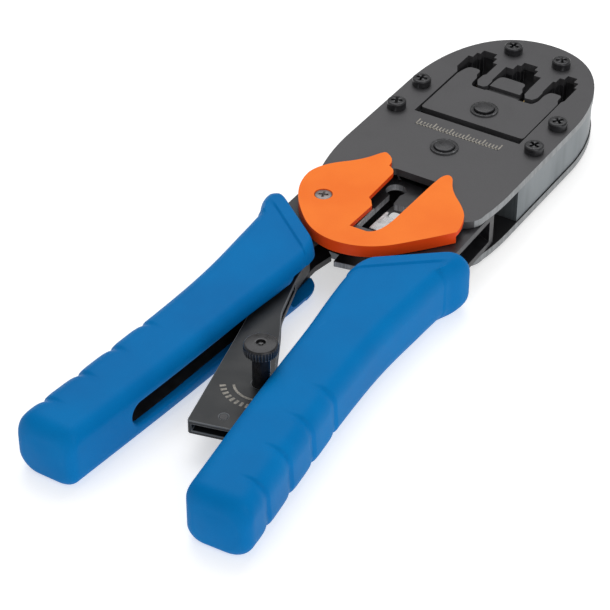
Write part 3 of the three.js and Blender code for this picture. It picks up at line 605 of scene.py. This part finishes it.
def grip_stations():
    """Distances along the sleeve for its sections: closer where it has detail."""
    stations = [0, 0.25, 0.6, 1.0, 1.5]
    at = 2.0
    while at < GRIP_LENGTH - END_ROUND["top"]:
        stations.append(at)
        at += 0.36 if at < 20 or at > GRIP_LENGTH - 57 else 1.4
    steps = 18
    for i in range(steps):
        angle = math.pi / 2 * (1 - i / steps)
        stations.append(GRIP_LENGTH - END_ROUND["top"] * (1 - math.cos(angle)))
    return stations + [GRIP_LENGTH - 0.004]


def grip_ring(along, mouth_round=1.1):
    """Section of the sleeve at a distance along it: its points, placed by their reach from the outer edge."""
    outer, inner = along_curve(OUTER, along / GRIP_LENGTH), along_curve(INNER, along / GRIP_LENGTH)
    across = (inner - outer).normalized()
    to_end = GRIP_LENGTH - along
    lip = drawn_in(mouth_round, along)
    outside = drawn_in(END_ROUND["outer"], to_end) + lip
    inside = (inner - outer).length - drawn_in(END_ROUND["inner"], to_end) - lip
    halves = [GRIP_HALF - drawn_in(END_ROUND[side], to_end) - lip for side in ("top", "bottom")]
    ring = []

    def add(reach, height, tilt):
        point = outer + across * reach
        share = collar_share(point, reach - outside, along)
        dent = crease_depth(point.y, height + MID, reach - outside) * smoothstep(to_end, 3, 9)
        lift = (COLLAR_RISE * share if tilt < math.pi else 0) - BODY_INSET * (1 - share) - dent
        side = 0.3 * share - dent
        point = point - across * math.cos(tilt) * side
        ring.append((point.x, point.y, MID + height + math.sin(tilt) * lift))

    corners = []
    for quarter in range(4):
        half = halves[quarter // 2]
        radius = min(CORNER_OUTER if quarter in (0, 3) else CORNER_INNER, half - 0.3)
        centre = outside + radius if quarter in (0, 3) else inside - radius
        corners.append((centre, (half - radius) * (1 if quarter < 2 else -1), radius))
    corner_steps, flat_steps = 9, (14, 6)
    for quarter, (centre, height, radius) in enumerate(corners):
        for i in range(corner_steps):
            tilt = (quarter + i / corner_steps) * math.pi / 2
            add(centre - radius * math.cos(tilt), height + radius * math.sin(tilt), tilt)
        tilt = (quarter + 1) * math.pi / 2
        start = Vector((centre - radius * math.cos(tilt), height + radius * math.sin(tilt)))
        centre, height, radius = corners[(quarter + 1) % 4]
        end = Vector((centre - radius * math.cos(tilt), height + radius * math.sin(tilt)))
        for i in range(flat_steps[quarter % 2]):
            add(*start.lerp(end, i / flat_steps[quarter % 2]), tilt)
    return ring


def grip_skin():
    """The closed outer skin of a left-hand sleeve, with a slightly crowned end."""
    shape = bmesh.new()
    rings = [[shape.verts.new(point) for point in grip_ring(along)] for along in grip_stations()]
    last = [Vector(vert.co) for vert in rings[-1]]
    middle = sum(last, Vector()) / len(last)
    outward = (Vector((*OUTER[0][-1], 0)) - Vector((*OUTER[0][-3], 0))).normalized()
    for share in (0.8, 0.6, 0.4, 0.2):
        crown = outward * 0.5 * (1 - share ** 2)
        rings.append([shape.verts.new(middle + (point - middle) * share + crown) for point in last])
    bridge(shape, rings)
    shape.faces.new(rings[0][::-1])
    tip = shape.verts.new(middle + outward * 0.5)
    for k in range(len(last)):
        shape.faces.new((rings[-1][k], rings[-1][(k + 1) % len(last)], tip))
    return shape


CORE_GAP = 0.3
CORE_OUTER = [(-25.6, -38), (-25.1, -57), (-24, -66), (-23, -79), (-23.1, -92), (-23.8, -108),
              (-25, -124), (-26, -140), (-26.7, -155.6)]
CORE_INNER = [(-14.1, -155.6), (-12.9, -140), (-11.4, -124), (-10.3, -108), (-9.3, -92), (-8.7, -79),
              (-8.3, -66), (-8.2, -50), (-8.2, -38)]
SLOT_HALF = 3.2
SLOT_END = -138.6
SLOT_WIDE = 5.1         # half height of the slot where the sleeve is cut back at its mouth
SLOT_STEP = -73.5
LIP = 0.8


def slot_cutter():
    """Slot on the inner side of a sleeve: rounded at its end, flared at its lips, wider at the mouth."""
    dense = INNER[0]

    def surface(y):
        for (x0, y0), (x1, y1) in zip(dense, dense[1:]):
            if y0 >= y > y1:
                return x0 + (x1 - x0) * (y0 - y) / (y0 - y1)
        return dense[0][0] if y > dense[0][1] else dense[-1][0]

    shape = bmesh.new()
    levels = []
    for depth, outset in ((-4.5, 0.0), (-LIP, 0.0), (-LIP / 3, LIP / 3), (0.05, LIP), (2.5, LIP + 2.4)):
        rows = []
        y = -50.0
        while y > SLOT_END + SLOT_HALF:
            widen = 1 - smoothstep(SLOT_STEP - y, -0.9, 0.9)
            rows.append((y, SLOT_HALF + (SLOT_WIDE - SLOT_HALF) * widen + outset * (1 - 0.75 * widen)))
            y -= 0.6 if abs(y - SLOT_STEP) < 3 else 2.0
        for i in range(9):
            angle = math.pi / 2 * i / 9
            reach = SLOT_HALF + outset
            rows.append((SLOT_END + SLOT_HALF - reach * math.sin(angle), reach * math.cos(angle)))
        tip = SLOT_END - outset
        level = [[shape.verts.new((surface(y) + depth, y, MID + side * half)) for y, half in rows]
                 for side in (1, -1)]
        levels.append((*level, shape.verts.new((surface(tip) + depth, tip, MID))))
    bridge(shape, [up + [tip] + low[::-1] for up, low, tip in levels])
    for up, low, tip in (levels[0], levels[-1]):
        for k in range(len(up) - 1):
            shape.faces.new((up[k], up[k + 1], low[k + 1], low[k]))
        shape.faces.new((up[-1], tip, low[-1]))
    bmesh.ops.recalc_face_normals(shape, faces=shape.faces)
    return shape


def grip(name, node, right_hand):
    """A sleeve around its core, open at the mouth and slotted on its inner side."""
    core_low = height_of("left_core", 0) - CORE_GAP
    core_high = height_of("left_core", 1) + CORE_GAP
    shape = carve(grip_skin(), extrude(CORE_OUTER + CORE_INNER, core_low, core_high), slot_cutter())
    if right_hand:
        shape.transform(RIGHT_HAND)
    make(name, shape, [node], crease_degrees=38)


# ---- screws, pins and knob --------------------------------------------------------------
def cross_cutter(size, width, top, depth, taper=0.55):
    """A cross recess that narrows towards its bottom."""
    shape = bmesh.new()
    levels = []
    for height, scale in ((top + 0.4, 1.0), (top, 1.0), (top - depth, taper)):
        a, b = size / 2 * scale, width / 2 * (0.6 + 0.4 * scale)
        outline = [(a, -b), (a, b), (b, b), (b, a), (-b, a), (-b, b),
                   (-a, b), (-a, -b), (-b, -b), (-b, -a), (b, -a), (b, -b)]
        levels.append([shape.verts.new((x, y, height)) for x, y in outline])
    bridge(shape, levels)
    shape.faces.new(levels[0])
    shape.faces.new(levels[-1][::-1])
    return shape


def head_screws():
    """Six cheese-head screws that share one mesh."""
    head, top, shank = 2.85, height_of("head_screw_left_1", 1), 1.5
    low = height_of("head_screw_left_1", 0)
    profile = [(0, low), (shank - 0.35, low), (shank, low + 0.35), (shank, 0.05), (head - 0.25, 0.05)]
    profile += arc_profile((head - 0.2, 0.25), 0.2, -90, 0, 3)
    profile += arc_profile((head - 0.6, top - 0.6), 0.6, 0, 78, 6)
    profile += [(head - 1.0, top - 0.03), (0.5, top), (0, top)]
    shape = carve(lathe(profile, 48), cross_cutter(3.5, 0.85, top, 1.3))
    shape.transform(Matrix.Scale(MM, 4))
    bmesh.ops.recalc_face_normals(shape, faces=shape.faces)
    mesh = to_mesh("head_screw", shape)
    finish_mesh(mesh, 32)
    names = [f"head_screw_{side}_{i}" for side in ("left", "right") for i in (1, 2, 3)]
    for turn, node in enumerate(names):
        x, y = centre_of(node)
        piece = bpy.data.objects.new(node + "_fine", mesh)
        spot = Matrix.Translation((HINGE.x + x * MM, HINGE.y + y * MM, TOP))
        piece.matrix_world = spot @ Matrix.Rotation(1.3 * turn + 0.4, 4, "Z")
        bpy.context.scene.collection.objects.link(piece)
        settle(piece, "frame", FITTING, [node])


def domed_pin(node):
    """Handle or ram pin: a slightly domed end with a soft rim."""
    low, top, radius = height_of(node, 0), height_of(node, 1), 3.0
    profile = [(0, low), (radius - 0.6, low), *arc_profile((radius - 0.4, low + 0.4), 0.4, -70, 0, 3)]
    profile += arc_profile((radius - 0.35, top - 0.5), 0.35, 0, 62, 5)
    profile += [(radius * share, top - 0.28 * share ** 2) for share in (0.75, 0.5, 0.25)] + [(0, top)]
    make(node + "_fine", lathe(profile, 64, centre_of(node)), [node], FITTING)


def pin_ring(node):
    """Retaining ring around a pin, with rounded rims."""
    low, top = height_of(node, 0), height_of(node, 1)
    inner, outer, edge = 3.06, 4.15, 0.18
    profile = [(inner, low), (outer, low)]
    profile += arc_profile((outer - edge, top - edge), edge, 0, 90, 4)
    profile += arc_profile((inner + edge, top - edge), edge, 90, 180, 4)
    make(node + "_fine", lathe(profile, 64, centre_of(node)), [node], FITTING)


def cover_screw():
    """Countersunk screw with a cross recess, holding the guard."""
    node = "cover_screw"
    low, top, shank, head = height_of(node, 0), height_of(node, 1), 1.4, 2.4
    profile = [(0, low), (shank, low), (shank, -0.05), (head, top - 0.3), (head, top - 0.14)]
    profile += [(head - 0.18, top - 0.02)]
    profile += [(head * 0.5, top + 0.04), (0.3, top + 0.06), (0, top + 0.06)]
    shape = carve(lathe(profile, 48), cross_cutter(2.9, 0.75, top + 0.06, 1.0))
    shape.transform(Matrix.Rotation(0.35, 4, "Z"))
    shape.transform(Matrix.Translation((*centre_of(node), 0)))
    make(node + "_fine", shape, [node], COVER_FITTING, crease_degrees=32)


KNURLS = 34
KNURL_DEPTH = 0.2


def knob():
    """Release knob: knurled head with a recess on top, on a long stem."""
    node = "release_knob"
    low, top = height_of(node, 0), height_of(node, 1)
    stem, rim = 2.35, 4.55
    under = 4.1
    body = [(0, low), (stem - 0.3, low), (stem, low + 0.3), (stem, under - 0.6),
            (stem + 0.25, under - 0.15), (stem + 0.9, under)]
    band = [(rim - 0.75, under + 0.02), (rim - 0.3, under + 0.3), (rim - 0.12, under + 0.9),
            (rim, top - 1.2), (rim - 0.05, top - 0.95)]
    crown = arc_profile((rim - 0.75, top - 0.85), 0.62, 15, 80, 5)
    crown += [(2.6, top - 0.12), (1.75, top - 0.04), (1.35, top - 0.02), (1.22, top - 0.1)]
    crown += [(1.15, top - 0.75)]
    crown += [(0.62, top - 0.8), (0.55, top - 0.4), (0.42, top - 0.34), (0, top - 0.34)]
    first, last = len(body), len(body) + len(band)

    def knurl(angle, index):
        if not first <= index < last:
            return 0.0
        wave = math.cos(KNURLS * angle)
        return KNURL_DEPTH * (math.copysign(abs(wave) ** 0.6, wave) - 1) / 2

    shape = lathe(body + band + crown, KNURLS * 8, place_of("knob_turn"), knurl)
    make(node + "_fine", shape, [node], FITTING, crease_degrees=40)


def handle_spring():
    """Wound spring at the pivot, with rounded wire."""
    node = "handle_spring"
    radius, wire, turns, rise, sides = 3.85, 0.42, 4, 5.0, 12
    steps = turns * 40
    shape = bmesh.new()
    rings = []
    for i in range(steps + 1):
        angle = i / steps * turns * 2 * math.pi
        outward = Vector((math.cos(angle), math.sin(angle), 0))
        centre = outward * radius + Vector((0, 0, MID - rise / 2 + rise * i / steps))
        ends = min(i, steps - i)
        size = wire * (math.sqrt(1 - (1 - ends / 2) ** 2) * 0.9 + 0.1 if ends < 2 else 1)
        ring = []
        for k in range(sides):
            around = 2 * math.pi * k / sides
            offset = outward * size * math.cos(around) + Vector((0, 0, size * math.sin(around)))
            ring.append(shape.verts.new(centre + offset))
        rings.append(ring)
    bridge(shape, rings)
    shape.faces.new(rings[0][::-1])
    shape.faces.new(rings[-1])
    make(node + "_fine", shape, [node])


# ---- guard ------------------------------------------------------------------------------
def curve_points(points, steps):
    """Points of a Bezier curve of any order, without its first one."""
    made = []
    for i in range(1, steps + 1):
        t = i / steps
        row = [Vector(point) for point in points]
        while len(row) > 1:
            row = [a.lerp(b, t) for a, b in zip(row, row[1:])]
        made.append(tuple(row[0]))
    return made


# Curves of the guard's outline, each from the end of the one before it.
GUARD_START = (-12.2, -13)
GUARD_LEFT = [[(-12.9, -13.6), (-13.8, -15.6)], [(-15.6, -19.4), (-19, -22.6)],
              [(-24.9, -27.9), (-25.3, -33.1)]]
GUARD_FRONT = [[(-25.3, -41), (-20.2, -47.5), (-13.9, -53.3)], [(-8.6, -57.9), (-2.1, -57.8)],
               [(6.9, -57.5), (13.4, -50.1)], [(19.7, -42.9), (24.2, -36.9)]]
GUARD_RIGHT = [[(24.4, -33.6), (22.3, -29)], [(20.9, -26.4), (17, -23)], [(13.4, -19.9), (11.7, -16.4)],
               [(10.6, -13.9), (9.3, -13.7)], [(8.2, -13.5), (7.6, -16)], [(7.3, -19.9)], [(6.9, -40)],
               [(6.6, -48.8), (3.1, -49.4)], [(-2, -49.5)], [(-1.7, -38)], [(-3.2, -35.9)], [(-4.5, -35)],
               [(-4.8, -21.5)], [(-5, -19.3), (-7.7, -18.3)], [(-7.9, -16.7)],
               [(-8.6, -14.5), (-10.6, -13.4)], [(-11.7, -12.6), (-12.2, -13)]]
SKIRT = 1.2


def follow(start, curves, steps=16):
    """Plan points along a chain of curves and straight lines."""
    points = [start]
    for curve in curves:
        points += curve_points([points[-1], *curve], steps if len(curve) > 1 else 1)
    return points


def guard():
    """Thin lid with a soft rim, a skirt around the tail of the plates and a seat for its screw."""
    node = "guard_cover"
    low, top = height_of(node, 0), height_of(node, 1)
    outline = follow(GUARD_START, GUARD_LEFT + GUARD_FRONT + GUARD_RIGHT)[:-1]
    front = follow(GUARD_LEFT[-1][-1], GUARD_FRONT)[1:]
    back = []
    for before, point, after in zip([front[0], *front], front, [*front[1:], front[-1]]):
        along = (Vector(after) - Vector(before)).normalized()
        back.append((point[0] - along.y * SKIRT, point[1] + along.x * SKIRT))
    seat_profile = [(0, -1), (1.6, -1), (1.6, 0.1), (2.6, top - 0.3), (2.6, top + 1), (0, top + 1)]
    seat = lathe(seat_profile, 48, centre_of("cover_screw"))
    shape = carve(joined(extrude(outline, 0.06, top), extrude(front + back[::-1], low, top - 0.6)), seat)
    edge = shape.faces.layers.float.new("edge")
    for face in soften(shape, 0.5, 4, 40):
        face[edge] = 1.0
    make(node + "_fine", shape, [node], crease_degrees=50)


# ---- printed marks ----------------------------------------------------------------------
INK_THICK = 0.03


def ink_bars(name, bars, face, body):
    """Flat printed quadrilaterals on a face at a height, each given by its four plan corners."""
    shape = bmesh.new()
    for corners in bars:
        low = [shape.verts.new((x, y, face + 0.004)) for x, y in corners]
        high = [shape.verts.new((x, y, face + INK_THICK)) for x, y in corners]
        shape.faces.new(low[::-1])
        shape.faces.new(high)
        bridge(shape, [low, high])
    shape.transform(TO_ROW)
    bmesh.ops.recalc_face_normals(shape, faces=shape.faces)
    settle(bpy.data.objects.new(name, to_mesh(name, shape)), body, INK)


def length_scale():
    """A plain strip-length scale on the head plate: a line with ticks, and no lettering."""
    y, start, count, pitch = 6.9, -13.6, 26, 1.08
    end = start + (count - 1) * pitch + 0.4
    bars = [[(start, y), (end, y), (end, y + 0.4), (start, y + 0.4)]]
    for i in range(count):
        x = start + i * pitch
        tall = 3.1 if i % 5 == 0 else 2.1
        bars.append([(x, y), (x + 0.4, y), (x + 0.4, y + tall), (x, y + tall)])
    ink_bars("length_scale_print", bars, 0.0, "frame")


def turn_arrow():
    """Printed arc arrow around the knob, with a row of plain dashes below it."""
    cx, cy = place_of("knob_turn")
    face = height_of("ratchet_lever", 1)

    def at(radius, degrees):
        angle = math.radians(degrees)
        return cx + radius * math.cos(angle), cy + radius * math.sin(angle)

    def sector(inner, outer, start, end):
        return [at(inner, start), at(outer, start), at(outer, end), at(inner, end)]

    bars = [sector(6.7, 7.35, 218 + 5 * i, 223 + 5 * i) for i in range(14)]
    bars.append([at(5.9, 288), at(8.15, 288), at(7.02, 300)])
    bars += [sector(9.0, 10.6, 216 + 9 * i, 220.5 + 9 * i) for i in range(9)]
    ink_bars("turn_arrow_print", bars, face, "lever")


# ---- the object -------------------------------------------------------------------------
head_screws()
for pin in ("pivot_pin", "ram_pin"):
    domed_pin(pin)
for washer in ("pivot_ring_front", "pivot_ring_back", "ram_ring_front", "ram_ring_back"):
    pin_ring(washer)
cover_screw()
knob()
handle_spring()
guard()
grip("left_sleeve", "left_grip", False)
grip("right_sleeve", "right_grip", True)
length_scale()
turn_arrow()

CORNER_WIDTHS = {
    "top_plate": 0.14, "bottom_plate": 0.14, "ram_top_plate": 0.16, "ram_bottom_plate": 0.16,
    "head_spacer": 0.12, "die_block": 0.1, "ram_body": 0.14, "left_core": 0.3, "right_core": 0.3,
    "ratchet_lever": 0.28, "toggle_link": 0.2, "blade_holder": 0.15,
    "fixed_blade": 0.06, "moving_blade": 0.08, "knob_clip": 0.06, "ratchet_rack": 0.12, "pawl": 0.12,
}
for node in NODES:
    if not NODES[node].hide_render:
        refine(node, CORNER_WIDTHS.get(node, 0.1))


# ---- camera, floor and light ------------------------------------------------------------
def in_row(x, y, z):
    """A point in tool millimetres, as metres in the row frame."""
    return TO_ROW @ Vector((x, y, z))


def aim(thing, direction):
    """Turns a camera or lamp to look along a direction."""
    thing.rotation_euler = Vector(direction).to_track_quat("-Z", "Y").to_euler()


CAMERA_PLACE = (247.55, -471.90, 345.66)    # tool millimetres
CAMERA_VIEW = (-0.42236, 0.67623, -0.60372)
CAMERA_LENS = 129.84
WORLD_LIGHT = 0.48
LAMPS = {   # place in metres, size in metres, watts
    "top_light": ((-0.22, 0.34, 0.72), 0.7, 3.5),
    "front_light": ((0.60, -0.35, 0.40), 0.5, 1.6),
}
FLOOR_GLOW = 0.54       # keeps the pale floor white without lighting the tool too hard


def stage():
    """Camera, pale floor and soft studio light."""
    scene = bpy.context.scene
    scene.view_settings.view_transform = "Standard"
    camera = bpy.data.objects.new("camera", bpy.data.cameras.new("camera"))
    scene.collection.objects.link(camera)
    camera.location = in_row(*CAMERA_PLACE)
    aim(camera, CAMERA_VIEW)
    camera.data.sensor_width = 36
    camera.data.lens = CAMERA_LENS
    scene.camera = camera

    grid = bmesh.new()
    bmesh.ops.create_grid(grid, x_segments=2, y_segments=2, size=3)
    mesh = to_mesh("floor", grid)
    floor = bpy.data.objects.new("floor", mesh)
    scene.collection.objects.link(floor)
    paper = Look("floor_paper", 0.9, specular=0.1)
    paper.shader.inputs["Emission Color"].default_value = (1, 1, 1, 1)
    paper.shader.inputs["Emission Strength"].default_value = FLOOR_GLOW
    mesh.materials.append(paper.finish(paper.ramp(paper.noise(40), (0.70, 0.70, 0.70), (0.74, 0.74, 0.74))))

    world = bpy.data.worlds.new("studio")
    scene.world = world
    world.use_nodes = True
    world.node_tree.nodes["Background"].inputs["Color"].default_value = (1, 1, 1, 1)
    world.node_tree.nodes["Background"].inputs["Strength"].default_value = WORLD_LIGHT

    for name, (place, size, energy) in LAMPS.items():
        light = bpy.data.lights.new(name, "AREA")
        light.energy = energy
        light.size = size
        lamp = bpy.data.objects.new(name, light)
        lamp.location = place
        aim(lamp, -Vector(place))
        scene.collection.objects.link(lamp)


stage()
